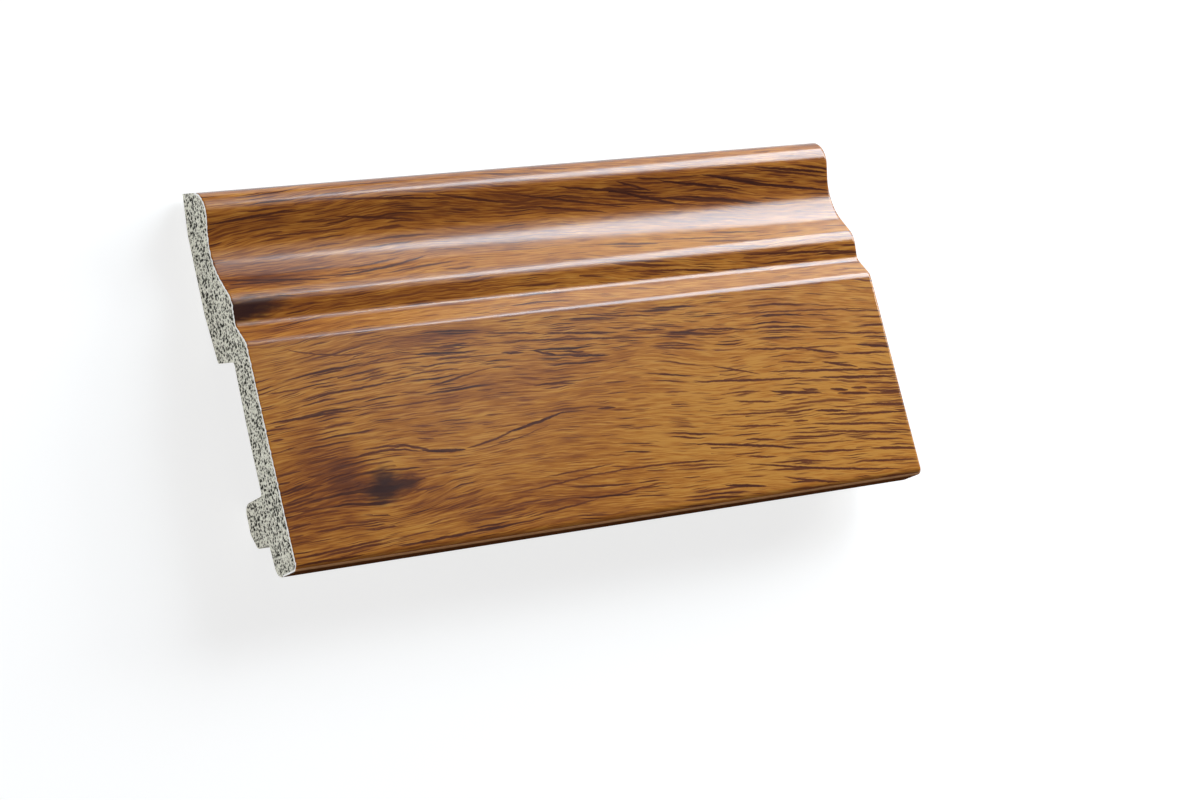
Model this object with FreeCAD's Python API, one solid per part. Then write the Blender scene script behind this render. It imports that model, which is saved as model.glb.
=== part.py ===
import FreeCAD, Part
import math
import os

# Skirting board length: a foamed polystyrene moulding with a printed decor film on its face.
# It lies on its back: X runs along the board, +Y points to its top edge, +Z out of its face.
# The wall plane is z = 0, and the origin is under the middle of the board. Millimetres.

# The whole board
length = 190.0
height = 100.0
thickness = 20.6  # wall plane to the face plane, at the floor
film_thickness = 0.4

# The moulded head. A drop is measured down from the top edge, and a set_back in from the
# face plane, to the corner where two members would meet if they weren't rounded.
nosing_drop = 3.4
nosing_set_back = 6.3
nosing_radius = 5.9
cove_drop = 19.5
cove_set_back = 11.9
cove_radius = 14.5
bead_drop = 31.3
bead_set_back = 4.2
bead_radius = 5.8
quirk_drop = 37.7
quirk_set_back = 5.2
quirk_radius = 1.6
fascia_drop = 43.2
fascia_set_back = 1.3
fascia_radius = 2.8

# The foot under the lower pad. Its thickness is measured back from the face plane.
foot_arris_radius = 1.7
foot_thickness = 11.0
foot_heel_radius = 3.1
foot_head_thickness = 11.9

# The lower pad, measured up from the floor edge
lower_pad_floor_gap = 9.0
lower_pad_height = 11.6
lower_pad_chamfer_height = 4.1
lower_pad_chamfer_depth = 2.3
lower_pad_edge_radius = 1.4
lower_pad_shoulder_radius = 2.6

# The thin web between the pads. Its thickness is measured back from the face plane.
web_foot_thickness = 10.2
web_head_thickness = 10.0
web_hollow = 0.4
web_hollow_radius = 300.0
inner_corner_radius = 1.0

# The upper pad, measured down from the top edge. Only its middle bears on the wall.
upper_pad_height = 45.8
upper_pad_draft = 1.9
upper_pad_edge_radius = 0.8
upper_pad_foot_relief_height = 13.0
upper_pad_foot_relief_depth = 1.9
upper_pad_head_relief_height = 10.4
upper_pad_head_relief_depth = 1.9


def corner(out, up, radius):
    """A corner of the section, out from the wall and up from the floor, with its rounding."""
    return FreeCAD.Vector(-length / 2, up - height / 2, out), radius


def face_corners():
    """Corners of the film-covered face, from the nosing down to the floor edge."""
    members = [
        (nosing_set_back, nosing_drop, nosing_radius),
        (cove_set_back, cove_drop, cove_radius),
        (bead_set_back, bead_drop, bead_radius),
        (quirk_set_back, quirk_drop, quirk_radius),
        (fascia_set_back, fascia_drop, fascia_radius),
        (0, height, foot_arris_radius),
    ]
    return [corner(thickness - back, height - drop, radius) for back, drop, radius in members]


def foot_and_lower_pad_corners():
    """Corners of the back, from the heel of the foot up to the top of the lower pad."""
    pad_foot = lower_pad_floor_gap
    pad_head = pad_foot + lower_pad_height
    return [
        corner(thickness - foot_thickness, 0, foot_heel_radius),
        corner(thickness - foot_head_thickness, pad_foot, inner_corner_radius),
        corner(lower_pad_chamfer_depth, pad_foot, lower_pad_edge_radius),
        corner(0, pad_foot + lower_pad_chamfer_height, lower_pad_edge_radius),
        corner(0, pad_head, lower_pad_shoulder_radius),
    ]


def web_corners():
    """The back of the web between the pads, slightly hollow at the middle."""
    foot_up = lower_pad_floor_gap + lower_pad_height
    head_up = height - upper_pad_height
    foot_out = thickness - web_foot_thickness
    head_out = thickness - web_head_thickness
    middle_out = (foot_out + head_out) / 2 - web_hollow
    return [
        corner(foot_out, foot_up, inner_corner_radius),
        corner(middle_out, (foot_up + head_up) / 2, web_hollow_radius),
        corner(head_out, head_up, inner_corner_radius),
    ]


def upper_pad_corners():
    """Corners of the back, from the foot of the upper pad to the board's top edge."""
    pad_foot = height - upper_pad_height + upper_pad_draft
    return [
        corner(upper_pad_foot_relief_depth, pad_foot, upper_pad_edge_radius),
        corner(0, pad_foot + upper_pad_foot_relief_height, 0),
        corner(0, height - upper_pad_head_relief_height, 0),
        corner(upper_pad_head_relief_depth, height, 0),
    ]


def rounding(before, tip, after, radius):
    """Start, middle and end of the arc that rounds a corner at its tip."""
    toward_before = (before - tip).normalize()
    toward_after = (after - tip).normalize()
    half_angle = toward_before.getAngle(toward_after) / 2
    bisector = (toward_before + toward_after).normalize()
    tangent = radius / math.tan(half_angle)
    middle = tip + bisector * (radius / math.sin(half_angle) - radius)
    return tip + toward_before * tangent, middle, tip + toward_after * tangent


def rounded_runs(corners):
    """One run per corner of a closed outline: its arc, and the straight after it."""
    tips = [tip for tip, radius in corners]
    arcs = []
    for index, (tip, radius) in enumerate(corners):
        after = tips[(index + 1) % len(tips)]
        arcs.append(rounding(tips[index - 1], tip, after, radius))
    runs = []
    for index, (start, middle, end) in enumerate(arcs):
        next_start = arcs[(index + 1) % len(arcs)][0]
        run = [Part.makeLine(end, next_start)]
        if corners[index][1] > 0:
            run.insert(0, Part.Arc(start, middle, end).toShape())
        runs.append(run)
    return runs


def film_section(covered_runs):
    """The film's section: the outline that it covers, and the same line a film's thickness in."""
    outer = Part.Wire([edge for run in covered_runs for edge in run])
    inner = outer.makeOffset2D(-film_thickness, 0, False, True)
    outer_ends = outer.OrderedVertexes
    inner_ends = inner.OrderedVertexes
    cut_edges = [
        Part.makeLine(outer_ends[0].Point, inner_ends[0].Point),
        Part.makeLine(outer_ends[-1].Point, inner_ends[-1].Point),
    ]
    return Part.Face(Part.Wire(Part.__sortEdges__(outer.Edges + inner.Edges + cut_edges)))


def build():
    """The foamed body and the film that wraps its face, both sawn square at the two ends."""
    face = face_corners()
    back = foot_and_lower_pad_corners() + web_corners() + upper_pad_corners()
    runs = rounded_runs(face + back)
    board = Part.Face(Part.Wire([edge for run in runs for edge in run]))
    film = film_section(runs[:len(face)])
    along = FreeCAD.Vector(length, 0, 0)
    return {
        "foamed_body": board.cut(film).Faces[0].extrude(along),
        "decor_film": film.extrude(along),
    }


os.makedirs("parts", exist_ok=True)
for name, piece in build().items():
    piece.exportStep(os.path.join("parts", name + ".step"))
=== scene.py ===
import math

import bpy
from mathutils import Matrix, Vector, geometry, kdtree


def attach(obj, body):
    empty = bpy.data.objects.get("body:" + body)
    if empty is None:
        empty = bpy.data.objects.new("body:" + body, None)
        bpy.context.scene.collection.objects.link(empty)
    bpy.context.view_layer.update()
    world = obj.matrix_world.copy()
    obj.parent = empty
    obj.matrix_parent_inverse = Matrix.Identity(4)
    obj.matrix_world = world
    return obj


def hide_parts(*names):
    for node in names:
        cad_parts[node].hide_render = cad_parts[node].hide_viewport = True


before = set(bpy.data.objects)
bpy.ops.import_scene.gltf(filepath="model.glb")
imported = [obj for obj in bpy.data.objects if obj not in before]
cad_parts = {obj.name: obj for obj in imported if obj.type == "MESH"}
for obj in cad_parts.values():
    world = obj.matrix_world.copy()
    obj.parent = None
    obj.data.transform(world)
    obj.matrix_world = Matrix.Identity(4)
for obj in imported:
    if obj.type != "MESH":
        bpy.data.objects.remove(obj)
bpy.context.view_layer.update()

# Foamed body. The real one is polystyrene foamed in the die and extruded as one length, with a
# moulded face, two pads that bear on the wall and a thin web between them. Its skin is closed
# and smooth; the saw that cuts it to length opens the cells, which show as dark pores.
mm = 0.001
length = 190 * mm
height = 100 * mm
thickness = 20.6 * mm
film_thickness = 0.4 * mm
point_spacing = 0.25 * mm        # between two points of the outline
largest_turn = 0.07              # radians between two points of an arc
cell_grid = 0.2 * mm             # between two points on a sawn end
row_spacing = 0.866 * cell_grid
clear_of_rim = 0.6 * cell_grid

# each corner of the section is (down from the top edge, in from the face plane, rounding), in mm
face_corners = [
    (3.4, 6.3, 5.9),      # nosing
    (19.5, 11.9, 14.5),   # cove
    (31.3, 4.2, 5.8),     # bead
    (37.7, 5.2, 2.6),     # quirk, rounded 1 mm more than in the solids
    (43.2, 1.3, 2.8),     # head of the fascia
    (100.0, 0.0, 1.7),    # arris at the floor
]
back_corners = [
    (100.0, 11.0, 3.1),   # heel
    (91.0, 11.9, 1.0),    # under the lower pad
    (91.0, 18.3, 1.4),    # lower pad, chamfered foot
    (86.9, 20.6, 1.4),
    (79.4, 20.6, 2.6),    # lower pad, shoulder
    (79.4, 10.2, 1.0),    # web
    (62.6, 10.5, 300.0),
    (45.8, 10.0, 1.0),
    (43.9, 18.7, 0.8),    # upper pad, foot
    (30.9, 20.6, 0.0),
    (10.4, 20.6, 0.0),    # upper pad, head
    (0.0, 18.7, 0.0),
]


def rounded_runs(corners, step):
    """One run of points per corner: its arc, then the straight that leads to the next arc."""
    tips = [Vector((height / 2 - drop * mm, thickness - back * mm)) for drop, back, _ in corners]
    arcs = []
    for index, (_, _, radius) in enumerate(corners):
        tip = tips[index]
        before = (tips[index - 1] - tip).normalized()
        after = (tips[(index + 1) % len(tips)] - tip).normalized()
        if radius == 0:
            arcs.append([tip])
            continue
        half = before.angle(after) / 2
        centre = tip + (before + after).normalized() * (radius * mm / math.sin(half))
        start = tip + before * (radius * mm / math.tan(half)) - centre
        end = tip + after * (radius * mm / math.tan(half)) - centre
        turn = math.atan2(start.x * end.y - start.y * end.x, start.dot(end))
        count = max(1, math.ceil(abs(turn) / min(largest_turn, step / (radius * mm))))
        arc = []
        for k in range(count + 1):
            c, s = math.cos(turn * k / count), math.sin(turn * k / count)
            arc.append(centre + Vector((c * start.x - s * start.y, s * start.x + c * start.y)))
        arcs.append(arc)
    runs = []
    for index, arc in enumerate(arcs):
        start, end = arc[-1], arcs[(index + 1) % len(arcs)][0]
        count = max(1, math.ceil((end - start).length / step))
        runs.append(arc + [start.lerp(end, k / count) for k in range(1, count)])
    return runs


def inset(line, depth):
    """The same line, moved in by a depth square to itself."""
    moved = []
    for index, point in enumerate(line):
        along = line[min(index + 1, len(line) - 1)] - line[max(index - 1, 0)]
        along.normalize()
        moved.append(point - Vector((along.y, -along.x)) * depth)
    return moved


runs = rounded_runs(face_corners + back_corners, point_spacing)
face_count = len(face_corners)
face_line = [point for run in runs[:face_count] for point in run] + [runs[face_count][0]]
film_bed = inset(face_line, film_thickness)
back_line = [point for run in runs[face_count:] for point in run]
body_outline = film_bed + back_line + [face_line[0]]

# the sawn end is a fine net of points, close enough to model the open cells
rows = int(height / row_spacing) + 1
columns = int(thickness / cell_grid) + 1
nearest = kdtree.KDTree(len(body_outline))
for index, point in enumerate(body_outline):
    nearest.insert((point.x, point.y, 0), index)
nearest.balance()
net = list(body_outline)
for row in range(rows):
    for column in range(columns):
        y = -height / 2 + row * row_spacing
        z = (column + 0.5 * (row % 2)) * cell_grid
        if nearest.find((y, z, 0))[2] > clear_of_rim:
            net.append(Vector((y, z)))
rim = [(k, (k + 1) % len(body_outline)) for k in range(len(body_outline))]
inside_only = 1
same_point = 1e-8
points, _, faces, _, _, _ = geometry.delaunay_2d_cdt(net, rim, [], inside_only, same_point)
inside_points = sorted({index for face in faces for index in face})
place_of = {index: place for place, index in enumerate(inside_points)}
points = [points[index] for index in inside_points]
faces = [tuple(place_of[index] for index in reversed(face)) for face in faces]

body_section = bpy.data.meshes.new("foamed_body")
body_section.from_pydata([(0, p.x, p.y) for p in points], [], faces)
from_rim = body_section.attributes.new("from_rim", "FLOAT", "POINT")
from_rim.data.foreach_set("value", [nearest.find((p.x, p.y, 0))[2] for p in points])


def socket(tree, name, kind, value=None, give=False):
    """A named input, or output, on a node group."""
    made = tree.interface.new_socket(name, in_out="OUTPUT" if give else "INPUT", socket_type=kind)
    if value is not None:
        made.default_value = value


def add(tree, kind, values={}, **settings):
    """A node, with its settings made and its inputs set to a value or joined to a socket."""
    node = tree.nodes.new(kind)
    for name, value in settings.items():
        setattr(node, name, value)
    for name, value in values.items():
        if isinstance(value, bpy.types.NodeSocket):
            tree.links.new(value, node.inputs[name])
        else:
            node.inputs[name].default_value = value
    return node


def sums(tree, operation, *values, clamp=False):
    """A Math node's result, held between 0 and 1 by a Clamp node if asked."""
    node = tree.nodes.new("ShaderNodeMath")
    node.operation = operation
    for slot, value in zip(node.inputs, values):
        if isinstance(value, bpy.types.NodeSocket):
            tree.links.new(value, slot)
        else:
            slot.default_value = value
    if not clamp:
        return node.outputs[0]
    held = tree.nodes.new("ShaderNodeClamp")
    tree.links.new(node.outputs[0], held.inputs[0])
    return held.outputs[0]


def along_board(tree, reach):
    """A reach along the board, as a vector."""
    return add(tree, "ShaderNodeCombineXYZ", {"X": reach}).outputs[0]


# the saw's rule: the section runs the whole length, closed by itself at both ends, and a narrow
# margin beside each end keeps the cut's edge apart from the long faces
sawn_length = bpy.data.node_groups.new("sawn_length", "GeometryNodeTree")
socket(sawn_length, "Section", "NodeSocketGeometry")
socket(sawn_length, "Length", "NodeSocketFloat", length)
socket(sawn_length, "Edge margin", "NodeSocketFloat", 0.6 * mm)
socket(sawn_length, "Board", "NodeSocketGeometry", give=True)
given = add(sawn_length, "NodeGroupInput").outputs
half = sums(sawn_length, "DIVIDE", given["Length"], 2.0)
back_half = sums(sawn_length, "MULTIPLY", half, -1.0)
margins = sums(sawn_length, "MULTIPLY", given["Edge margin"], 2.0)
middle = sums(sawn_length, "SUBTRACT", given["Length"], margins)
left = add(sawn_length, "GeometryNodeTransform", {
    "Geometry": given["Section"], "Translation": along_board(sawn_length, back_half)})
right = add(sawn_length, "GeometryNodeTransform", {
    "Geometry": given["Section"], "Translation": along_board(sawn_length, half)})
right = add(sawn_length, "GeometryNodeFlipFaces", {"Mesh": right.outputs[0]})
open_edge = add(sawn_length, "FunctionNodeCompare", {
    "A": add(sawn_length, "GeometryNodeInputMeshEdgeNeighbors").outputs[0], "B": 1},
    data_type="INT", operation="EQUAL").outputs[0]
skin = left.outputs[0]
for reach in (given["Edge margin"], middle, given["Edge margin"]):
    pull = add(sawn_length, "GeometryNodeExtrudeMesh", {
        "Mesh": skin, "Selection": open_edge, "Offset": along_board(sawn_length, reach)}, mode="EDGES")
    skin, open_edge = pull.outputs["Mesh"], pull.outputs["Top"]
joined = add(sawn_length, "GeometryNodeJoinGeometry")
sawn_length.links.new(right.outputs[0], joined.inputs[0])
sawn_length.links.new(skin, joined.inputs[0])
merged = add(sawn_length, "GeometryNodeMergeByDistance", {"Geometry": joined.outputs[0], "Distance": 1e-6})
add(sawn_length, "NodeGroupOutput", {"Board": merged.outputs[0]})


def bare_material(name):
    """A material whose node tree is still empty, and that tree."""
    material = bpy.data.materials.new(name)
    material.use_nodes = True
    material.node_tree.nodes.clear()
    return material, material.node_tree


def blend(tree, share, low, high):
    """A colour between two others. Sockets 6 and 7 are the Mix node's colours, output 2 their mix."""
    return add(tree, "ShaderNodeMix", {"Factor": share, 6: low, 7: high}, data_type="RGBA").outputs[2]


def drawn_noise(tree, place, scale, detail):
    """Noise with a scale of its own on each axis: its value, and its colour by name."""
    spot = add(tree, "ShaderNodeMapping", {"Vector": place, "Scale": scale}).outputs[0]
    return add(tree, "ShaderNodeTexNoise", {"Vector": spot, "Scale": 1.0, "Detail": detail}).outputs


# sawn end: pale grey-green cell walls, with the open cells coloured near black as painted shade deep inside them
sawn_foam, tree = bare_material("sawn_foam")
place = add(tree, "ShaderNodeTexCoord").outputs["Object"]
cell = add(tree, "ShaderNodeAttribute", attribute_name="open_cell").outputs["Fac"]
small = add(tree, "ShaderNodeTexVoronoi", {"Vector": place, "Scale": 2400.0}, feature="F1")
small_reach = sums(
    tree, "MULTIPLY", add(tree, "ShaderNodeSeparateXYZ", {0: small.outputs["Color"]}).outputs[0], 0.52)
small_cell = sums(tree, "LESS_THAN", small.outputs["Distance"], small_reach)
dust = add(tree, "ShaderNodeTexNoise", {"Vector": place, "Scale": 900.0, "Detail": 3.0}).outputs[0]
wall = blend(tree, dust, (0.50, 0.49, 0.40, 1), (0.86, 0.84, 0.74, 1))
cell = sums(tree, "MULTIPLY", cell, 2.2, clamp=True)
# painted shade: the sunk cells, and the smaller cells that only the colour draws, are made near black for the shade
# deep in them
dark = sums(tree, "MAXIMUM", sums(tree, "MULTIPLY", cell, 0.98), sums(tree, "MULTIPLY", small_cell, 0.7))
colour = blend(tree, dark, wall, (0.014, 0.014, 0.010, 1))
relief = add(tree, "ShaderNodeBump", {
    "Strength": 0.6, "Distance": 0.1 * mm, "Height": sums(tree, "SUBTRACT", dust, small_cell)})
shell = add(tree, "ShaderNodeBsdfPrincipled", {
    "Base Color": colour, "Roughness": 0.85, "Specular IOR Level": 0.25, "Normal": relief.outputs[0]})
add(tree, "ShaderNodeOutputMaterial", {"Surface": shell.outputs[0]})

# skin: the same foam closed by the die, with its faint drawn lines along the length
skin_foam, tree = bare_material("skin_foam")
place = add(tree, "ShaderNodeTexCoord").outputs["Object"]
drawn = drawn_noise(tree, place, (12.0, 2200.0, 2200.0), 3.0)[0]
mottle = add(tree, "ShaderNodeTexNoise", {"Vector": place, "Scale": 260.0, "Detail": 4.0}).outputs[0]
tone = sums(tree, "ADD", sums(tree, "MULTIPLY", drawn, 0.5), sums(tree, "MULTIPLY", mottle, 0.5))
colour = blend(tree, tone, (0.42, 0.40, 0.32, 1), (0.62, 0.59, 0.50, 1))
relief = add(tree, "ShaderNodeBump", {"Strength": 0.35, "Distance": 0.1 * mm, "Height": tone})
shell = add(tree, "ShaderNodeBsdfPrincipled", {
    "Base Color": colour, "Roughness": 0.6, "Normal": relief.outputs[0]})
add(tree, "ShaderNodeOutputMaterial", {"Surface": shell.outputs[0]})

foam_tree = bpy.data.node_groups.new("foamed_body", "GeometryNodeTree")
socket(foam_tree, "Section", "NodeSocketGeometry")
socket(foam_tree, "Length", "NodeSocketFloat", length)
socket(foam_tree, "Cell size", "NodeSocketFloat", 0.85 * mm)
socket(foam_tree, "Cell depth", "NodeSocketFloat", 0.3 * mm)
socket(foam_tree, "Board", "NodeSocketGeometry", give=True)
given = add(foam_tree, "NodeGroupInput").outputs
board = add(foam_tree, "GeometryNodeGroup", {
    name: given[name] for name in ("Section", "Length")}, node_tree=sawn_length)
position = add(foam_tree, "GeometryNodeInputPosition").outputs[0]
# the cells: round spots of uneven size that the noise bends, none of them on the rim itself
bend = 0.4 * mm
smallest_spot, spot_range, spot_edge = 0.10, 0.46, 0.12
closed_rim = 0.25 * mm
blur = add(foam_tree, "ShaderNodeTexNoise", {"Vector": position, "Scale": 1500.0, "Detail": 1.0})
bent = add(foam_tree, "ShaderNodeVectorMath", {
    0: blur.outputs["Color"], 1: (bend, bend, bend)}, operation="MULTIPLY")
bent = add(foam_tree, "ShaderNodeVectorMath", {0: position, 1: bent.outputs[0]}, operation="ADD")
spot = add(foam_tree, "ShaderNodeSeparateXYZ", {0: bent.outputs[0]}).outputs
spot = add(foam_tree, "ShaderNodeCombineXYZ", {"X": spot[1], "Y": spot[2]})
cells = add(foam_tree, "ShaderNodeTexVoronoi", {
    "Vector": spot.outputs[0], "Scale": sums(foam_tree, "DIVIDE", 1.0, given["Cell size"])},
    feature="F1", voronoi_dimensions="2D")
pick = add(foam_tree, "ShaderNodeSeparateXYZ", {0: cells.outputs["Color"]})
reach = sums(foam_tree, "MULTIPLY_ADD", pick.outputs[0], spot_range, smallest_spot)
within = sums(foam_tree, "SUBTRACT", reach, cells.outputs["Distance"])
open_cell = sums(foam_tree, "DIVIDE", within, spot_edge, clamp=True)
inside = add(foam_tree, "GeometryNodeInputNamedAttribute", {"Name": "from_rim"}, data_type="FLOAT").outputs[0]
inside = sums(foam_tree, "DIVIDE", inside, closed_rim, clamp=True)
open_cell = sums(foam_tree, "MULTIPLY", open_cell, inside)
sign = sums(foam_tree, "SIGN", add(foam_tree, "ShaderNodeSeparateXYZ", {0: position}).outputs[0])
sunk = sums(foam_tree, "MULTIPLY", sums(foam_tree, "MULTIPLY", open_cell, sign), sums(
    foam_tree, "MULTIPLY", given["Cell depth"], -1.0))
marked = add(foam_tree, "GeometryNodeStoreNamedAttribute", {
    "Geometry": board.outputs[0], "Name": "open_cell", "Value": open_cell}, data_type="FLOAT", domain="POINT")
cut = add(foam_tree, "GeometryNodeSetPosition", {
    "Geometry": marked.outputs[0], "Offset": along_board(foam_tree, sunk)})
normal = add(foam_tree, "GeometryNodeInputNormal").outputs[0]
facing = add(foam_tree, "ShaderNodeSeparateXYZ", {0: normal}).outputs[0]
sawn = sums(foam_tree, "GREATER_THAN", sums(foam_tree, "ABSOLUTE", facing), 0.3)
real = add(foam_tree, "GeometryNodeRealizeInstances", {"Geometry": cut.outputs[0]})
finish = add(foam_tree, "GeometryNodeSetMaterial", {"Geometry": real.outputs[0], "Material": skin_foam})
finish = add(foam_tree, "GeometryNodeSetMaterial", {
    "Geometry": finish.outputs[0], "Material": sawn_foam, "Selection": sawn})
add(foam_tree, "NodeGroupOutput", {"Board": finish.outputs[0]})


def run_nodes(name, section, tree, sizes={}):
    """Puts a section through a node tree and keeps the result as a plain mesh."""
    start = bpy.data.objects.new(name + "_section", section)
    bpy.context.scene.collection.objects.link(start)
    nodes = start.modifiers.new("nodes", "NODES")
    nodes.node_group = tree
    for item in tree.interface.items_tree:
        if item.item_type == "SOCKET" and item.in_out == "INPUT" and item.name in sizes:
            nodes[item.identifier] = sizes[item.name]
    ready = start.evaluated_get(bpy.context.evaluated_depsgraph_get())
    mesh = bpy.data.meshes.new_from_object(ready)
    mesh.name = name
    piece = bpy.data.objects.new(name, mesh)
    bpy.data.objects.remove(start)
    bpy.context.scene.collection.objects.link(piece)
    return piece


foamed_body = run_nodes("foam_board", body_section, foam_tree, {"Length": length})
foamed_body.data.shade_smooth()
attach(foamed_body, "root")
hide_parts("foamed_body")

# Decor film. The real one is a printed and lacquered plastic foil, wrapped hot round the face
# from the top edge to the heel. Its core is white, which shows where the saw chips it.
turns_under = 103.0      # mm down the face, where the rounding at the floor begins
film_section = bpy.data.meshes.new("decor_film")
count = len(face_line)
film_section.from_pydata(
    [(0, p.x, p.y) for p in face_line] + [(0, p.x, p.y) for p in film_bed], [],
    [(k, k + 1, count + k + 1, count + k) for k in range(count - 1)])
down = [0.0]
for k in range(1, count):
    down.append(down[-1] + (face_line[k] - face_line[k - 1]).length / mm)
down_face = film_section.attributes.new("down_face", "FLOAT", "POINT")
down_face.data.foreach_set("value", down + down)
outside = film_section.attributes.new("outside", "FLOAT", "POINT")
outside.data.foreach_set("value", [1.0] * count + [0.0] * count)

# The print: the face map gives x along the board and s down the face, both in mm. Its grain rises
# to a crest left of the middle, falls away to the right, wanders a little and parts at the knots.
crest_x, crest_round, crest_fall = -32.0, 30.0, 0.085
wander_reach, ripple_reach = 7.0, 0.9
knots = [((-66.8, 86.0), (7.4, 4.5)), ((-91.0, 36.2), (10.5, 3.3))]   # each one's middle and reach
parted_reach, parted_share = 1.9, 0.45

soft_patch = bpy.data.node_groups.new("soft_patch", "ShaderNodeTree")
socket(soft_patch, "Place", "NodeSocketVector")
socket(soft_patch, "Middle", "NodeSocketVector")
socket(soft_patch, "Reach", "NodeSocketVector", (1, 1, 1))
socket(soft_patch, "Mask", "NodeSocketFloat", give=True)
given = add(soft_patch, "NodeGroupInput").outputs
away = add(soft_patch, "ShaderNodeVectorMath", {0: given["Place"], 1: given["Middle"]}, operation="SUBTRACT")
away = add(soft_patch, "ShaderNodeVectorMath", {0: away.outputs[0], 1: given["Reach"]}, operation="DIVIDE")
square = add(soft_patch, "ShaderNodeVectorMath", {0: away.outputs[0], 1: away.outputs[0]}, operation="DOT_PRODUCT")
fade = sums(soft_patch, "EXPONENT", sums(soft_patch, "MULTIPLY", square.outputs["Value"], -1.0))
add(soft_patch, "NodeGroupOutput", {"Mask": fade})

grain_flow = bpy.data.node_groups.new("grain_flow", "ShaderNodeTree")
socket(grain_flow, "Place", "NodeSocketVector")
socket(grain_flow, "Along", "NodeSocketFloat", give=True)
socket(grain_flow, "Across", "NodeSocketFloat", give=True)
given = add(grain_flow, "NodeGroupInput").outputs
xs = add(grain_flow, "ShaderNodeSeparateXYZ", {0: given["Place"]}).outputs
far = sums(grain_flow, "SUBTRACT", xs[0], crest_x)
crest = sums(grain_flow, "SQRT", sums(grain_flow, "ADD", sums(grain_flow, "MULTIPLY", far, far), crest_round ** 2))
across = sums(grain_flow, "SUBTRACT", xs[1], sums(grain_flow, "MULTIPLY", crest, crest_fall))
wander = drawn_noise(grain_flow, given["Place"], (0.02, 0.045, 1.0), 1.0)[0]
across = sums(grain_flow, "ADD", across, sums(grain_flow, "MULTIPLY", wander, wander_reach))
ripple = drawn_noise(grain_flow, given["Place"], (0.16, 0.3, 1.0), 2.0)[0]
across = sums(grain_flow, "ADD", across, sums(grain_flow, "MULTIPLY", ripple, ripple_reach))
for (x, s), (wide, tall) in knots:
    near = add(grain_flow, "ShaderNodeGroup", {
        "Place": given["Place"], "Middle": (x, s, 0),
        "Reach": (wide * parted_reach, tall * parted_reach, 1)}, node_tree=soft_patch).outputs[0]
    aside = sums(grain_flow, "MULTIPLY", sums(grain_flow, "SUBTRACT", xs[1], s), near)
    across = sums(grain_flow, "SUBTRACT", across, sums(grain_flow, "MULTIPLY", aside, parted_share))
add(grain_flow, "NodeGroupOutput", {"Along": xs[0], "Across": across})

# fine dark vessels: thin spindles that lie along the grain, one to a cell, some left out, each
# with a redder halo. Their reaches and soft edges are shares of a cell.
spindle_reach, spindle_range, spindle_edge = 0.16, 0.20, 0.10
halo_reach, halo_edge = 0.20, 0.34
vessels = bpy.data.node_groups.new("vessels", "ShaderNodeTree")
socket(vessels, "Along", "NodeSocketFloat")
socket(vessels, "Across", "NodeSocketFloat")
socket(vessels, "Spacing along", "NodeSocketFloat", 20.0)
socket(vessels, "Spacing across", "NodeSocketFloat", 0.8)
socket(vessels, "Share", "NodeSocketFloat", 0.3)
socket(vessels, "Seed", "NodeSocketFloat", 0.0)
socket(vessels, "Mask", "NodeSocketFloat", give=True)
socket(vessels, "Halo", "NodeSocketFloat", give=True)
given = add(vessels, "NodeGroupInput").outputs
spot = add(vessels, "ShaderNodeCombineXYZ", {
    "X": sums(vessels, "ADD", sums(vessels, "DIVIDE", given["Along"], given["Spacing along"]), given["Seed"]),
    "Y": sums(vessels, "ADD", sums(vessels, "DIVIDE", given["Across"], given["Spacing across"]), given["Seed"])})
cells = add(vessels, "ShaderNodeTexVoronoi", {"Vector": spot.outputs[0], "Scale": 1.0},
    feature="F1", voronoi_dimensions="2D")
pick = add(vessels, "ShaderNodeSeparateXYZ", {0: cells.outputs["Color"]}).outputs
chosen = sums(vessels, "LESS_THAN", pick[0], given["Share"])
reach = sums(vessels, "MULTIPLY_ADD", pick[1], spindle_range, spindle_reach)
within = sums(vessels, "SUBTRACT", reach, cells.outputs["Distance"])
ink = sums(vessels, "DIVIDE", within, spindle_edge, clamp=True)
halo = sums(vessels, "DIVIDE", sums(vessels, "ADD", within, halo_reach), halo_edge, clamp=True)
depth = sums(vessels, "MULTIPLY", sums(vessels, "MULTIPLY_ADD", pick[2], 0.45, 0.55), chosen)
add(vessels, "NodeGroupOutput", {
    "Mask": sums(vessels, "MULTIPLY", ink, depth), "Halo": sums(vessels, "MULTIPLY", halo, depth)})

# one drawn stroke of the figure: a thin bowed line that tapers to both ends, darker the wider it is
stroke_edge = 0.18          # mm
ink_to_width = 2.1
figure_stroke = bpy.data.node_groups.new("figure_stroke", "ShaderNodeTree")
socket(figure_stroke, "Place", "NodeSocketVector")
socket(figure_stroke, "Start", "NodeSocketVector")
socket(figure_stroke, "Run", "NodeSocketVector", (1, 0, 0))
socket(figure_stroke, "Bow", "NodeSocketFloat", 0.0)
socket(figure_stroke, "Width", "NodeSocketFloat", 0.3)
socket(figure_stroke, "Mask", "NodeSocketFloat", give=True)
given = add(figure_stroke, "NodeGroupInput").outputs
away = add(figure_stroke, "ShaderNodeVectorMath", {
    0: given["Place"], 1: given["Start"]}, operation="SUBTRACT").outputs[0]
reached = add(figure_stroke, "ShaderNodeVectorMath", {
    0: away, 1: given["Run"]}, operation="DOT_PRODUCT").outputs["Value"]
whole_run = add(figure_stroke, "ShaderNodeVectorMath", {
    0: given["Run"], 1: given["Run"]}, operation="DOT_PRODUCT").outputs["Value"]
reached = sums(figure_stroke, "DIVIDE", reached, whole_run, clamp=True)
hump = sums(figure_stroke, "MULTIPLY", reached, sums(figure_stroke, "SUBTRACT", 1.0, reached))
hump = sums(figure_stroke, "MULTIPLY", hump, 4.0)
foot = add(figure_stroke, "ShaderNodeVectorMath", {0: given["Run"], "Scale": reached}, operation="SCALE").outputs[0]
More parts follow.
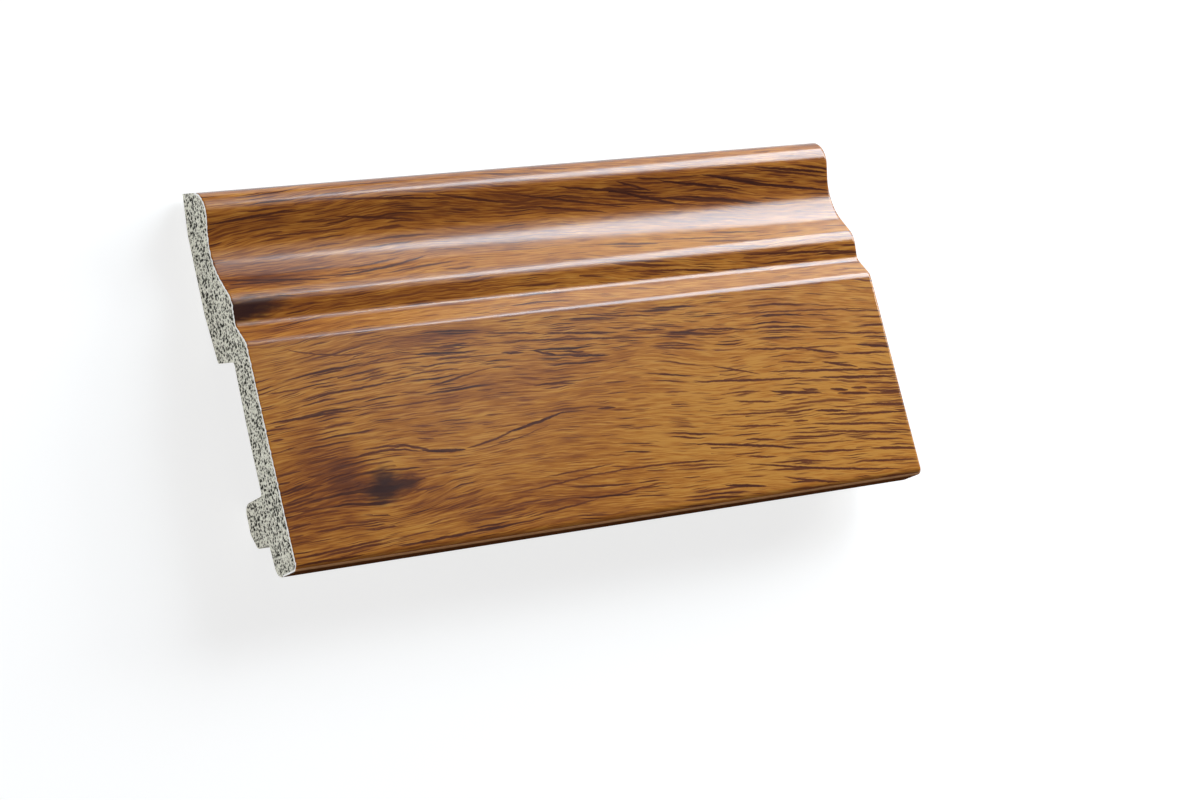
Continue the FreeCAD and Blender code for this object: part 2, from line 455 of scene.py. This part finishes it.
lift = add(figure_stroke, "ShaderNodeCombineXYZ", {
    "Y": sums(figure_stroke, "MULTIPLY", hump, given["Bow"])}).outputs[0]
off = add(figure_stroke, "ShaderNodeVectorMath", {0: away, 1: foot}, operation="SUBTRACT").outputs[0]
off = add(figure_stroke, "ShaderNodeVectorMath", {0: off, 1: lift}, operation="SUBTRACT").outputs[0]
gap = add(figure_stroke, "ShaderNodeVectorMath", {0: off}, operation="LENGTH").outputs["Value"]
wide = sums(figure_stroke, "MULTIPLY", given["Width"], sums(figure_stroke, "POWER", hump, 0.5))
ink = sums(figure_stroke, "DIVIDE", sums(figure_stroke, "SUBTRACT", wide, gap), stroke_edge, clamp=True)
depth = sums(figure_stroke, "MULTIPLY", given["Width"], ink_to_width, clamp=True)
add(figure_stroke, "NodeGroupOutput", {"Mask": sums(figure_stroke, "MULTIPLY", ink, depth)})

printed_film, tree = bare_material("printed_film")
place = add(tree, "ShaderNodeUVMap", uv_map="face_map").outputs[0]
xs = add(tree, "ShaderNodeSeparateXYZ", {0: place}).outputs
flow = add(tree, "ShaderNodeGroup", {"Place": place}, node_tree=grain_flow).outputs


def streaks(along, across, detail, seed):
    """Noise drawn out along the grain."""
    spot = add(tree, "ShaderNodeCombineXYZ", {
        "X": sums(tree, "DIVIDE", flow["Along"], along),
        "Y": sums(tree, "DIVIDE", flow["Across"], across), "Z": seed}).outputs[0]
    return add(tree, "ShaderNodeTexNoise", {"Vector": spot, "Scale": 1.0, "Detail": detail}).outputs[0]


def patch(x, s, wide, tall, strength):
    """A soft patch of the face, given by its middle and its reach in mm."""
    mask = add(tree, "ShaderNodeGroup", {
        "Place": place, "Middle": (x, s, 0), "Reach": (wide, tall, 1)}, node_tree=soft_patch).outputs[0]
    return sums(tree, "MULTIPLY", mask, strength)


def heap(masks):
    """Several masks laid over each other."""
    total = masks[0]
    for mask in masks[1:]:
        total = sums(tree, "ADD", total, mask)
    return total


def shaken(place, noise, reach):
    """A place that a noise's colour moves about, by up to half a reach either way."""
    moved = add(tree, "ShaderNodeVectorMath", {0: noise, 1: (0.5, 0.5, 0.5)}, operation="SUBTRACT")
    moved = add(tree, "ShaderNodeVectorMath", {0: moved.outputs[0], 1: reach}, operation="MULTIPLY")
    return add(tree, "ShaderNodeVectorMath", {0: place, 1: moved.outputs[0]}, operation="ADD").outputs[0]


def span(tree, value, low, high, at_low=0.0, at_high=1.0):
    """A value held between two ends, and set out between two results."""
    return add(tree, "ShaderNodeMapRange", {
        "Value": value, "From Min": low, "From Max": high, "To Min": at_low, "To Max": at_high}).outputs[0]


# ground tone: golden, turning red-brown in broad drawn-out clouds, most of all round the knots,
# and darker with painted shade in a few bands of the moulding. A patch is (x, s, reach along, reach across, strength).
clouds = streaks(42.0, 7.0, 2.0, 3.0)
bands = streaks(26.0, 1.5, 2.0, 5.0)
fibres = streaks(8.0, 0.36, 3.5, 11.0)
whole_length = 400
browner_print_and_painted_shade = heap([patch(*at) for at in (
    # round the knot at the lower left
    (-84, 75, 6, 8, 0.7), (-76, 80, 7, 5, 0.75), (-86, 86, 16, 5.5, 0.6), (-92, 92, 12, 5, 0.5),
    (-61, 86, 6, 3.4, 0.8), (-74, 85.6, 8, 2.8, 0.7), (-66, 90, 24, 12, 0.25), (-76, 91, 5, 3, 0.5),
    (-42, 93.4, 18, 1.4, 0.9), (-38, 96.6, 12, 1.2, 0.8), (-58, 91, 9, 3, 0.3),
    # the fascia's middle, and its golden places
    (-13, 96.0, 16, 1.2, 0.7), (-20, 91.0, 20, 1.2, 0.5), (-42, 49.8, 14, 1.4, 1.0),
    (-53, 72, 9, 4, 0.35), (-12, 65, 30, 7, 0.35), (-4, 82, 18, 10, 0.2),
    (-64, 80.6, 6, 2.2, -0.9), (-70, 92, 7, 2.4, -0.7), (-77, 71.4, 6, 1.8, -0.7), (66, 84, 46, 22, -0.6),
    # bands and patches of the head moulding, and the floor edge
    # painted shade: the whole-length bands darken the nosing's top and the face under the highlights of the nosing,
    # cove, bead, quirk and fascia head
    (0, 0.4, whole_length, 2.6, 1.3), (-92, 43, 30, 1.8, 0.9), (-88, 29, 14, 2.5, 0.5),
    (0, 22.5, whole_length, 3.5, 0.6), (0, 46.5, whole_length, 0.9, 0.7), (0, 40.4, whole_length, 0.8, 0.4),
    (0, 33, whole_length, 1.5, 0.5), (0, 6, whole_length, 1.4, 0.5),
    # painted shade: the patch at s 13 darkens the splay, which faces away from the light, and the one at s 101.5 the
    # face by the floor edge
    (0, 13, 130, 6, 0.7), (-80, 27, 24, 4, 0.7), (-60, 36.5, 60, 2.6, 0.6), (0, 101.5, 130, 1.6, 0.35))])
golden = 1.93
shade = heap([
    sums(tree, "MULTIPLY", clouds, -0.6), sums(tree, "MULTIPLY", bands, -0.45),
    sums(tree, "MULTIPLY", fibres, -1.5), sums(tree, "MULTIPLY", browner_print_and_painted_shade, -0.42), golden])
ramp = add(tree, "ShaderNodeValToRGB", {"Fac": shade})
steps = ramp.color_ramp.elements
steps[0].position, steps[0].color = 0.0, (0.085, 0.022, 0.011, 1)
steps[1].position, steps[1].color = 0.88, (0.55, 0.245, 0.045, 1)
for position, tone in ((0.28, (0.235, 0.065, 0.011, 1)), (0.62, (0.43, 0.156, 0.023, 1))):
    steps.new(position).color = tone

# vessels: few in the quiet middle, close together at the right and along the head of the fascia
fewest = 0.14
share = heap([patch(*at) for at in (
    (12, 54, 50, 6, 0.45), (80, 80, 44, 22, 0.32), (-62, 58, 40, 10, 0.25),
    (60, 13, 70, 6, 0.55), (-40, 10, 40, 5, 0.4), (-85, 88, 20, 11, 0.5),
    (60, 36.5, 70, 2.5, 0.7), (-70, 28, 30, 3, 0.4), (-50, 98, 70, 5, 0.3))] + [fewest])
long_vessels = add(tree, "ShaderNodeGroup", {
    "Along": flow["Along"], "Across": flow["Across"], "Spacing along": 34.0, "Spacing across": 1.0,
    "Share": share, "Seed": 1.37}, node_tree=vessels).outputs
short_vessels = add(tree, "ShaderNodeGroup", {
    "Along": flow["Along"], "Across": flow["Across"], "Spacing along": 17.0, "Spacing across": 0.72,
    "Share": share, "Seed": 7.71}, node_tree=vessels).outputs
fine_vessels = add(tree, "ShaderNodeGroup", {
    "Along": flow["Along"], "Across": flow["Across"], "Spacing along": 11.0, "Spacing across": 0.46,
    "Share": sums(tree, "ADD", share, 0.2), "Seed": 4.19}, node_tree=vessels).outputs
ink = sums(tree, "MAXIMUM", long_vessels["Mask"], sums(tree, "MULTIPLY", short_vessels["Mask"], 0.9))
ink = sums(tree, "MAXIMUM", ink, sums(tree, "MULTIPLY", fine_vessels["Mask"], 0.6))
halo = sums(tree, "MAXIMUM", long_vessels["Halo"], sums(tree, "MULTIPLY", short_vessels["Halo"], 0.7))

# the figure's own strokes, drawn over the vessels: (from x, from s, to x, to s, bow, width)
waver = add(tree, "ShaderNodeTexNoise", {"Vector": place, "Scale": 0.35, "Detail": 3.0}).outputs["Color"]
hand = shaken(place, waver, (1.5, 0.6, 0))
for x0, s0, x1, s1, bow, width in (
        # head moulding
        (-96, 26.4, -66, 29.9, 0.2, 0.52), (-65, 29.3, -36, 24.8, 0.7, 0.48), (-66, 7.2, -25, 10.0, 0.0, 0.4),
        (-94, 28.4, -78, 29.2, 0.0, 0.46), (-60, 26.6, -44, 24.6, 0.2, 0.4),
        (-31, 8.5, -9, 12.6, 0.0, 0.42), (-80, 15.6, -52, 14.9, 0.3, 0.34), (5, 11.5, 61, 18.8, 0.2, 0.34),
        (32, 14.0, 69, 18.4, 0.0, 0.44), (53, 9.4, 76, 13.2, 0.0, 0.4), (69, 9.0, 95, 13.0, 0.0, 0.38),
        (18, 36.6, 48, 38.4, 0.0, 0.34), (58, 35.6, 95, 37.4, -0.2, 0.42), (30, 27.0, 61, 29.6, 0.0, 0.34),
        (-12, 9.6, 30, 16.8, 0.0, 0.4), (6, 9.4, 40, 13.8, 0.0, 0.44), (22, 11.3, 46, 17.3, 0.0, 0.48),
        (38, 10.0, 66, 14.4, 0.0, 0.48), (52, 9.3, 82, 15.3, 0.0, 0.5), (45, 14.7, 72, 18.7, 0.0, 0.5),
        (66, 12.7, 96, 16.9, 0.0, 0.5), (25, 9.3, 36, 12.7, 0.0, 0.44), (70, 8.6, 96, 12.0, 0.0, 0.46),
        (-4, 13.6, 22, 17.4, 0.0, 0.4), (-60, 12.0, -36, 14.6, 0.0, 0.4), (-96, 11.6, -70, 9.4, 0.0, 0.42),
        # fascia, left
        (-86, 48.8, -61, 52.2, 1.2, 0.34), (-81, 54.3, -49, 52.5, 0.0, 0.26), (-83, 56.5, -30, 55.6, -1.2, 0.26),
        (-43, 52.7, -34, 52.7, 0.0, 0.34), (-43, 53.8, -34, 53.7, 0.0, 0.3), (-93, 59.7, -82, 59.2, 0.0, 0.3),
        (-83, 61.8, -54, 60.0, 0.0, 0.36), (-55, 59.4, -37, 59.4, -0.6, 0.3), (-49, 62.9, -33, 60.2, -0.1, 0.34),
        (-57, 63.1, -49, 64.0, 0.0, 0.28), (-95, 67.1, -68, 66.1, -0.3, 0.42), (-95, 68.6, -86, 68.5, 0.0, 0.3),
        (-79.5, 69.6, -70.5, 69.1, 0.0, 0.34), (-94.5, 71.3, -90.5, 71.1, 0.0, 0.34), (-71, 72.2, -67, 71.8, 0.0, 0.28),
        (-70, 66.2, -39, 65.6, 0.5, 0.3), (-56, 72.0, -49, 72.6, 0.0, 0.28), (-56, 73.4, -48, 74.2, 0.0, 0.3),
        (-55, 75.2, -50, 75.9, 0.0, 0.3),
        # round the knot
        (-86, 78.0, -77, 77.1, 0.0, 0.34), (-74, 78.1, -54, 78.8, -1.3, 0.38), (-71, 76.3, -54.5, 77.4, -0.6, 0.36),
        (-61, 75.9, -52, 78.4, 0.1, 0.4), (-55, 78.2, -42, 79.6, 0.3, 0.5), (-42, 79.3, -27, 76.3, 0.5, 0.38),
        (-30, 76.8, -11.5, 73.3, 0.3, 0.46), (-41, 80.4, -16, 76.0, 0.7, 0.3), (-57.5, 80.5, -47, 81.5, 0.0, 0.3),
        (-95, 79.9, -87.5, 79.4, 0.0, 0.34), (-95, 82.0, -91.5, 81.9, 0.0, 0.36), (-87, 81.2, -81, 80.8, 0.0, 0.36),
        (-92, 83.9, -82.5, 83.5, 0.0, 0.38), (-87, 85.0, -74, 84.8, 0.0, 0.34), (-95, 87.2, -89, 86.8, 0.0, 0.4),
        (-88.5, 87.1, -73, 86.1, 0.0, 0.42), (-80, 88.2, -72, 88.3, 0.0, 0.34), (-92, 89.4, -83, 89.1, 0.0, 0.34),
        (-85, 90.4, -80, 90.3, 0.0, 0.3), (-94, 93.0, -88.5, 92.4, 0.0, 0.36), (-88.5, 94.8, -79, 94.6, 0.0, 0.34),
        (-95, 95.1, -91, 95.0, 0.0, 0.3), (-95, 100.4, -67, 98.8, 0.0, 0.36), (-95, 102.1, -76, 101.9, 0.0, 0.42),
        (-66.5, 101.3, -35, 100.0, 0.0, 0.44), (-60, 83.4, -54.5, 85.6, 0.6, 0.34), (-51, 84.8, -45.5, 84.6, 0.0, 0.3),
        (-44.5, 83.9, -38.5, 83.6, 0.0, 0.28), (-59, 88.1, -50, 87.8, 0.0, 0.34), (-51.5, 91.4, -45, 91.2, 0.0, 0.3),
        # fascia, middle
        (-30, 50.6, -12, 52.4, 0.0, 0.32), (-12, 52.3, 11, 54.6, 0.1, 0.36), (-25, 53.2, 24, 57.3, -0.2, 0.32),
        (-26, 56.2, -19, 56.9, 0.0, 0.36), (-17, 56.5, -9, 58.7, 0.0, 0.36), (-8, 57.7, -1, 58.6, 0.0, 0.38),
        (-6, 59.2, 6, 60.2, 0.0, 0.4), (-19, 65.7, -6, 66.5, -0.3, 0.38), (25, 56.5, 35, 56.2, 0.0, 0.36),
        (-22, 89.4, 0, 88.4, 0.1, 0.32), (-13, 91.1, 34, 92.0, -1.1, 0.34), (-2, 48.2, 25, 51.1, 0.4, 0.32),
        (12, 54.2, 25, 55.1, 0.0, 0.34), (18, 59.0, 33, 60.2, 0.0, 0.32), (-2, 73.8, 4, 73.9, 0.0, 0.38),
        (-30, 92.4, -4, 90.3, 0.0, 0.32), (-30, 99.0, -7, 96.9, 0.0, 0.34), (-3, 96.6, 12, 95.2, 0.0, 0.32),
        (5, 80.0, 17, 80.3, 0.0, 0.28),
        # fascia, right
        (41, 53.0, 95, 56.2, -0.4, 0.32), (30, 55.8, 54, 58.1, -0.2, 0.34), (46.5, 62.7, 75, 65.0, 0.3, 0.38),
        (76.5, 61.3, 95, 63.3, 0.0, 0.36), (67, 64.8, 78, 67.5, 0.0, 0.42), (78, 67.5, 96, 68.8, 0.0, 0.40),
        (84, 65.4, 96, 67.4, 0.0, 0.46), (58, 67.5, 69.5, 69.0, 0.0, 0.38), (71.5, 69.0, 83, 71.6, 0.0, 0.44),
        (35.5, 66.2, 51, 70.3, 0.0, 0.34), (53, 69.9, 96, 73.8, -0.2, 0.42), (28, 70.0, 67, 73.0, 0.0, 0.40),
        (69, 73.1, 96, 75.7, 0.0, 0.46), (39.5, 74.3, 50, 74.8, 0.0, 0.32), (52, 75.0, 69.5, 77.6, 0.1, 0.46),
        (62.5, 75.6, 68, 76.6, 0.0, 0.40), (72, 76.8, 78, 77.6, 0.0, 0.46), (79, 77.1, 84.5, 77.8, 0.0, 0.44),
        (74, 78.1, 85, 79.3, 0.0, 0.48), (88, 79.4, 96, 80.2, 0.0, 0.40), (40, 76.5, 54.5, 78.3, 0.0, 0.36),
        (31, 79.5, 64, 81.8, 0.0, 0.34), (65, 82.0, 76, 83.3, 0.0, 0.46), (67, 83.3, 96, 85.6, 0.2, 0.42),
        (79, 81.9, 96, 83.4, 0.0, 0.42), (36.5, 83.0, 55, 85.0, 0.0, 0.36), (57, 84.0, 62.5, 84.4, 0.0, 0.38),
        (62.5, 85.4, 96, 89.1, 0.0, 0.42), (64, 87.5, 96, 91.7, 0.0, 0.40), (41, 87.0, 51, 88.5, 0.0, 0.40),
        (28, 86.9, 59, 91.8, -0.3, 0.44), (40, 91.6, 50, 93.0, 0.0, 0.36), (54, 94.5, 61, 95.6, 0.0, 0.36),
        (61.5, 92.8, 78.5, 94.5, 0.0, 0.38), (76, 91.2, 92, 93.0, 0.0, 0.38), (80, 94.2, 96, 96.0, 0.0, 0.40),
        (73.5, 97.2, 96, 99.3, 0.0, 0.38), (39, 93.4, 90, 101.2, 0.6, 0.42), (31, 98.3, 44, 100.2, 0.0, 0.46),
        (50, 98.4, 68, 102.2, 0.3, 0.42)):
    drawn = add(tree, "ShaderNodeGroup", {
        "Place": hand, "Start": (x0, s0, 0), "Run": (x1 - x0, s1 - s0, 0), "Bow": bow,
        "Width": width}, node_tree=figure_stroke).outputs[0]
    ink = sums(tree, "MAXIMUM", ink, drawn)
# the ink is worn along the grain, thinned in the cove at the right as a painted highlight that washes the print out,
# thin at the lower right, full in the upper middle
ink = sums(tree, "MULTIPLY", ink, span(tree, streaks(7.0, 0.5, 2.0, 31.0), 0.3, 0.6, 0.78, 1.0))
pressed_and_painted_highlight = heap([patch(60, 22.5, 80, 3.0, -0.6), patch(-10, 56, 70, 9, 0.3), patch(74, 84, 32, 20, -0.16), 1.0])
ink = sums(tree, "MULTIPLY", ink, pressed_and_painted_highlight, clamp=True)
# a line is red-brown at its edge and nearly black along its middle
ink_gain = 1.8
colour = blend(tree, sums(tree, "MULTIPLY", halo, 0.35), ramp.outputs[0], (0.15, 0.046, 0.018, 1))
edge_ink = sums(tree, "MULTIPLY", ink, ink_gain, clamp=True)
colour = blend(tree, edge_ink, colour, (0.18, 0.05, 0.014, 1))
middle_ink = sums(tree, "MULTIPLY_ADD", ink, ink_gain, 1.0 - ink_gain, clamp=True)
colour = blend(tree, middle_ink, colour, (0.05, 0.014, 0.009, 1))

# the knots' dark hearts, with ragged ends drawn out along the grain
torn = drawn_noise(tree, place, (0.18, 0.7, 1.0), 4.0)["Color"]
ragged = shaken(place, torn, (9.0, 4.0, 0))
for x, s, wide, tall, dark in (
        (-66.4, 84.0, 4.4, 3.2, 0.84), (-67.6, 87.0, 6.0, 3.6, 0.88), (-61.0, 85.8, 4.6, 2.6, 0.6),
        (-93.0, 36.6, 10.0, 3.4, 0.96), (-88.0, 34.8, 9.0, 2.5, 0.84)):
    heart = add(tree, "ShaderNodeGroup", {
        "Place": ragged, "Middle": (x, s, 0), "Reach": (wide, tall, 1)}, node_tree=soft_patch).outputs[0]
    heart = span(tree, heart, 0.25, 0.85, 0.0, dark)
    colour = blend(tree, heart, colour, (0.035, 0.012, 0.011, 1))

# painted shade darkens the print where the film turns under at the floor, and the lacquer is faintly wavy
under = span(tree, xs[1], turns_under - 1.2, turns_under + 0.2, 0.0, 0.6)
colour = blend(tree, under, colour, (0.28, 0.08, 0.012, 1))
wave = drawn_noise(tree, place, (0.10, 0.45, 1.0), 2.0)[0]
slow_wave = add(tree, "ShaderNodeBump", {"Strength": 0.35, "Distance": 0.06 * mm, "Height": wave})
relief = add(tree, "ShaderNodeBump", {
    "Strength": 0.12, "Distance": 0.05 * mm, "Height": fibres, "Normal": slow_wave.outputs[0]})
shell = add(tree, "ShaderNodeBsdfPrincipled", {
    "Base Color": colour, "Roughness": 0.18, "IOR": 1.5, "Normal": relief.outputs[0]})
add(tree, "ShaderNodeOutputMaterial", {"Surface": shell.outputs[0]})

# round the floor edge and under it the film is dull; painted light lifts its orange on the rounding, and painted shade
# darkens it the farther it turns under
film_foot, tree = bare_material("film_foot")
place = add(tree, "ShaderNodeUVMap", uv_map="face_map").outputs[0]
drawn = drawn_noise(tree, place, (0.12, 2.6, 1.0), 3.0)[0]
far_under = span(
    tree, add(tree, "ShaderNodeSeparateXYZ", {0: place}).outputs[1], turns_under + 0.2, turns_under + 1.8)
edge = blend(tree, drawn, (0.52, 0.22, 0.09, 1), (0.86, 0.46, 0.22, 1))
below = blend(tree, drawn, (0.05, 0.015, 0.005, 1), (0.15, 0.048, 0.014, 1))
colour = blend(tree, far_under, edge, below)
relief = add(tree, "ShaderNodeBump", {"Strength": 0.2, "Distance": 0.05 * mm, "Height": drawn})
shell = add(tree, "ShaderNodeBsdfPrincipled", {
    "Base Color": colour, "Roughness": 0.8, "Specular IOR Level": 0.0, "Normal": relief.outputs[0]})
add(tree, "ShaderNodeOutputMaterial", {"Surface": shell.outputs[0]})

# the film's white core, which its cut edges show
film_core, tree = bare_material("film_core")
place = add(tree, "ShaderNodeTexCoord").outputs["Object"]
torn = add(tree, "ShaderNodeTexNoise", {"Vector": place, "Scale": 1800.0, "Detail": 3.0}).outputs[0]
colour = blend(tree, torn, (0.84, 0.83, 0.80, 1), (0.96, 0.95, 0.93, 1))
shell = add(tree, "ShaderNodeBsdfPrincipled", {"Base Color": colour, "Roughness": 0.55})
add(tree, "ShaderNodeOutputMaterial", {"Surface": shell.outputs[0]})

film_tree = bpy.data.node_groups.new("decor_film", "GeometryNodeTree")
socket(film_tree, "Section", "NodeSocketGeometry")
socket(film_tree, "Length", "NodeSocketFloat", length)
socket(film_tree, "Edge margin", "NodeSocketFloat", 0.5 * mm)
socket(film_tree, "Chip depth", "NodeSocketFloat", 0.25 * mm)
socket(film_tree, "Board", "NodeSocketGeometry", give=True)
given = add(film_tree, "NodeGroupInput").outputs
board = add(film_tree, "GeometryNodeGroup", {
    name: given[name] for name in ("Section", "Length", "Edge margin")}, node_tree=sawn_length)
position = add(film_tree, "GeometryNodeInputPosition").outputs[0]
at = add(film_tree, "ShaderNodeSeparateXYZ", {0: position}).outputs
down = add(film_tree, "GeometryNodeInputNamedAttribute", {"Name": "down_face"}, data_type="FLOAT").outputs[0]
outside = add(film_tree, "GeometryNodeInputNamedAttribute", {"Name": "outside"}, data_type="FLOAT").outputs[0]

# the saw left the board at its left end, and chipped the film's edge there
end_zone = -length / 2 + 0.1 * mm
at_saw = sums(film_tree, "LESS_THAN", at[0], end_zone)
ragged = add(film_tree, "ShaderNodeCombineXYZ", {"X": -1.0, "Y": down}).outputs[0]
ragged = add(film_tree, "ShaderNodeTexNoise", {"Vector": ragged, "Scale": 0.9, "Detail": 4.0}).outputs[0]
ragged = span(film_tree, ragged, 0.36, 0.72)
pulled = sums(film_tree, "MULTIPLY", ragged, given["Chip depth"])
pulled = sums(film_tree, "MULTIPLY", sums(film_tree, "MULTIPLY", at_saw, outside), pulled)
chipped = add(film_tree, "GeometryNodeSetPosition", {
    "Geometry": board.outputs[0], "Offset": along_board(film_tree, pulled)})
face_map = add(film_tree, "ShaderNodeCombineXYZ", {
    "X": sums(film_tree, "MULTIPLY", at[0], 1 / mm), "Y": down}).outputs[0]
mapped = add(film_tree, "GeometryNodeStoreNamedAttribute", {
    "Geometry": chipped.outputs[0], "Name": "face_map", "Value": face_map}, data_type="FLOAT2", domain="CORNER")
real = add(film_tree, "GeometryNodeRealizeInstances", {"Geometry": mapped.outputs[0]})
down_there, out_there = [add(film_tree, "GeometryNodeFieldOnDomain", {
    "Value": value}, data_type="FLOAT", domain="FACE").outputs[0] for value in (down, outside)]
turned_under = sums(film_tree, "GREATER_THAN", down_there, turns_under)
cut_edge = sums(film_tree, "LESS_THAN", out_there, 0.75)
finish = real
for finished, chosen in ((printed_film, True), (film_foot, turned_under), (film_core, cut_edge)):
    finish = add(film_tree, "GeometryNodeSetMaterial", {
        "Geometry": finish.outputs[0], "Material": finished, "Selection": chosen})
add(film_tree, "NodeGroupOutput", {"Board": finish.outputs[0]})

decor_film = run_nodes("film_wrap", film_section, film_tree, {"Length": length})
decor_film.data.shade_smooth()
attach(decor_film, "root")
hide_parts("decor_film")

# Studio: a pale floor, one large softbox off the far right corner that the head moulding mirrors
# with its dimmer spill, a low side light beyond the right end and a soft fill on the sawn left end.
floor = bpy.data.objects.new("floor", bpy.data.meshes.new("floor"))
floor.data.from_pydata([(-3, -3, -0.0002), (3, -3, -0.0002), (3, 3, -0.0002), (-3, 3, -0.0002)], [], [(0, 1, 2, 3)])
bpy.context.scene.collection.objects.link(floor)
pale = bpy.data.materials.new("pale_floor")
pale.use_nodes = True
tree = pale.node_tree
tree.nodes.clear()
light_path = add(tree, "ShaderNodeLightPath").outputs
seen = sums(tree, "MAXIMUM", light_path["Is Camera Ray"], sums(
    tree, "MAXIMUM", light_path["Is Glossy Ray"], light_path["Is Transmission Ray"]))
# the floor lights the board as a pale matte one does, and is seen white with the board's shadow
bounce, shadowed, white_base = 0.8, 0.33, 0.76
matte = add(tree, "ShaderNodeBsdfDiffuse", {"Color": (bounce, bounce, bounce, 1)})
thin = add(tree, "ShaderNodeBsdfDiffuse", {"Color": (shadowed, shadowed, shadowed, 1)})
glow = add(tree, "ShaderNodeEmission", {"Color": (1, 1, 1, 1), "Strength": white_base})
bright = add(tree, "ShaderNodeAddShader", {0: thin.outputs[0], 1: glow.outputs[0]})
mixed = add(tree, "ShaderNodeMixShader", {0: seen, 1: matte.outputs[0], 2: bright.outputs[0]})
add(tree, "ShaderNodeOutputMaterial", {"Surface": mixed.outputs[0]})
floor.data.materials.append(pale)


def softbox(name, azimuth, elevation, distance, width, tall, power, colour):
    """A flat square lamp that faces the board from a direction."""
    lamp = bpy.data.lights.new(name, "AREA")
    lamp.shape = "RECTANGLE"
    lamp.size = width
    lamp.size_y = tall
    lamp.energy = power
    lamp.color = colour
    holder = bpy.data.objects.new(name, lamp)
    az, el = math.radians(azimuth), math.radians(elevation)
    toward = Vector((math.cos(el) * math.cos(az), math.cos(el) * math.sin(az), math.sin(el)))
    holder.location = toward * distance
    holder.rotation_euler = toward.to_track_quat("Z", "Y").to_euler()
    holder.visible_camera = False
    bpy.context.scene.collection.objects.link(holder)


cool, white = (0.84, 0.93, 1.0), (1.0, 1.0, 1.0)
for lamp in (
        # name, azimuth, elevation, distance, width, height, power, colour
        ("key_softbox", 39.0, 29.0, 1.2, 0.55, 0.80, 17.5, cool),
        ("key_side_spill", 60.5, 29.0, 1.2, 0.26, 0.80, 1.5, cool),
        ("key_top_spill", 44.0, 56.0, 1.2, 0.54, 0.32, 0.7, cool),
        ("key_foot_spill", 52.0, 4.5, 1.2, 0.40, 0.18, 0.4, cool),
        ("side_light", 18.0, 20.0, 1.5, 0.4, 0.4, 12.5, white),
        ("end_fill", 187.0, 8.0, 1.5, 0.9, 0.36, 13.0, white)):
    softbox(*lamp)

world = bpy.data.worlds.new("studio")
bpy.context.scene.world = world
world.use_nodes = True
tree = world.node_tree
tree.nodes.clear()
dim = add(tree, "ShaderNodeBackground", {"Color": (1, 1, 1, 1), "Strength": 0.08})
add(tree, "ShaderNodeOutputWorld", {"Surface": dim.outputs[0]})

camera = bpy.data.objects.new("camera", bpy.data.cameras.new("camera"))
camera.data.lens = 91.7307
camera.data.sensor_width = 36.0
camera.location = (-0.41752, -0.13722, 0.67295)
camera.rotation_euler = [math.radians(a) for a in (16.3987, -29.7427, -14.7873)]
bpy.context.scene.collection.objects.link(camera)
bpy.context.scene.camera = camera
bpy.context.scene.view_settings.view_transform = "Standard"
